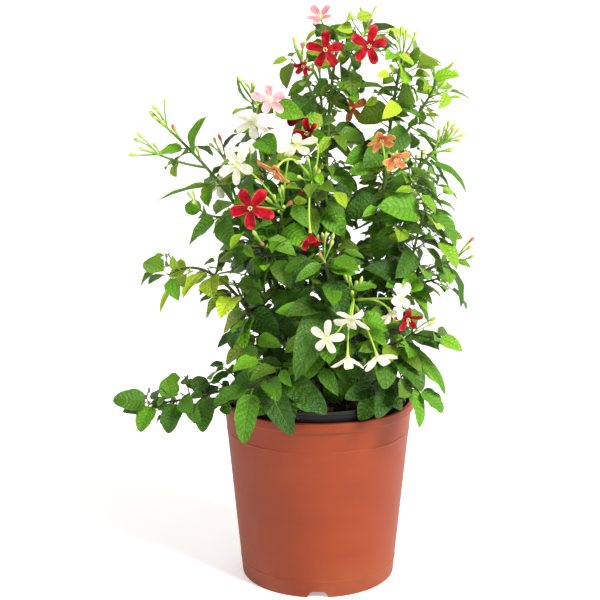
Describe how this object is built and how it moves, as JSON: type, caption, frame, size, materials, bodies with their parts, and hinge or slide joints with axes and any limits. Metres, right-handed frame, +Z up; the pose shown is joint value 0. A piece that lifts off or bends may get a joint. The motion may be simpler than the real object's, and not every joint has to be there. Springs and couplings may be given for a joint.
{
  "type": "potted rangoon creeper",
  "caption": "Leafy climbing shrub with opposite leaves and long-tubed five-petalled flowers in red, pink and white, grown in a black inner pot that stands in a terracotta-coloured plastic pot.",
  "frame": {"origin": "middle of the outer pot's underside, on the ground", "axes": "+Z up along the pot's axis, -Y towards the viewer of the picture, +X to the viewer's right"},
  "size_m": [0.355, 0.2883, 0.5879],
  "materials": {
    "terracotta_plastic": "satin",
    "black_plastic": "satin",
    "potting_mix": "matte",
    "leaf": "satin",
    "petal_red": "matte",
    "petal_white": "matte",
    "petal_peach": "matte",
    "petal_pink": "matte"
  },
  "bodies": {
    "root": {"pot": "terracotta_plastic", "inner_pot": "black_plastic", "soil": "potting_mix", "shoot_tall": "leaf", "shoot_right_tall": "leaf", "shoot_right_low": "leaf", "shoot_left_high": "leaf", "shoot_left_mid": "leaf", "shoot_left_low": "leaf", "shoot_front": "leaf", "shoot_front_right": "leaf", "shoot_trailing": "leaf", "shoot_rim_left": "leaf", "shoot_rim_right": "leaf", "shoot_back_left": "leaf", "shoot_back_right": "leaf", "shoot_back_tall": "leaf", "bloom_red_1": "petal_red", "bloom_red_2": "petal_red", "bloom_red_3": "petal_red", "bloom_red_4": "petal_red", "bloom_red_5": "petal_red", "bloom_red_6": "petal_red", "bloom_red_7": "petal_red", "bloom_red_8": "petal_red", "bloom_red_9": "petal_red", "bloom_red_10": "petal_red", "bloom_white_1": "petal_white", "bloom_white_2": "petal_white", "bloom_white_3": "petal_white", "bloom_white_4": "petal_white", "bloom_white_5": "petal_white", "bloom_white_6": "petal_white", "bloom_white_7": "petal_white", "bloom_white_8": "petal_white", "bloom_white_9": "petal_white", "bloom_white_10": "petal_white", "bloom_white_11": "petal_white", "bloom_peach_1": "petal_peach", "bloom_peach_2": "petal_peach", "bloom_peach_3": "petal_peach", "bloom_peach_4": "petal_peach", "bloom_pink_1": "petal_pink", "bloom_pink_2": "petal_pink", "bloom_pink_3": "petal_pink"}
  },
  "joints": []
}
